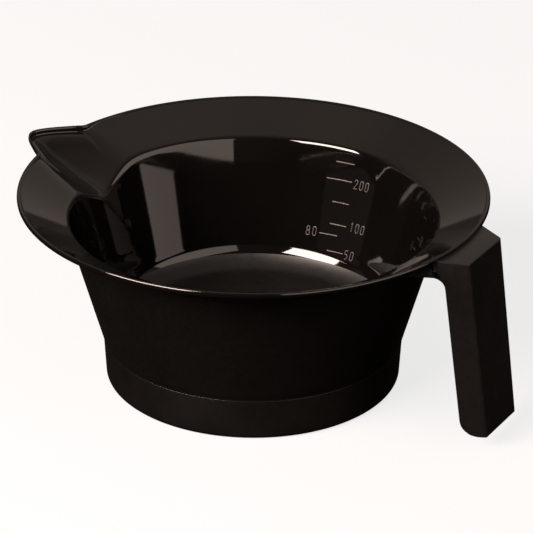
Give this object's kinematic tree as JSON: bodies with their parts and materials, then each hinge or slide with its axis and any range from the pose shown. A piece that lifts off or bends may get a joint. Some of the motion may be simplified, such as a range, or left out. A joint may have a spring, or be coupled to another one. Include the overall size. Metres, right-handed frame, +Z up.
{
  "type": "hair color bowl",
  "caption": "Conical mixing bowl with a sloping flange, a pouring spout, an inner graduation, an L-shaped channel handle and a plain foot ring.",
  "frame": {"origin": "under the middle of the overall box, in the plane that the foot ring stands on; the bowl axis is at x = -2.1 mm, because the handle reaches further out than the spout", "axes": "+Z up along the bowl axis, +X towards the handle, -X towards the spout, +Y towards the graduation"},
  "size_m": [0.1642, 0.14, 0.0604],
  "materials": {
    "bowl_plastic": "polished inside, satin outside",
    "handle_plastic": "satin with a fine grain",
    "foot_rubber": "dull, faintly scuffed",
    "scale_strokes": "light raised strokes"
  },
  "bodies": {
    "root": {"bowl_shell": "bowl_plastic", "handle": "handle_plastic", "foot_ring": "foot_rubber", "scale_lines": "scale_strokes", "scale_numbers": "scale_strokes"}
  },
  "joints": []
}
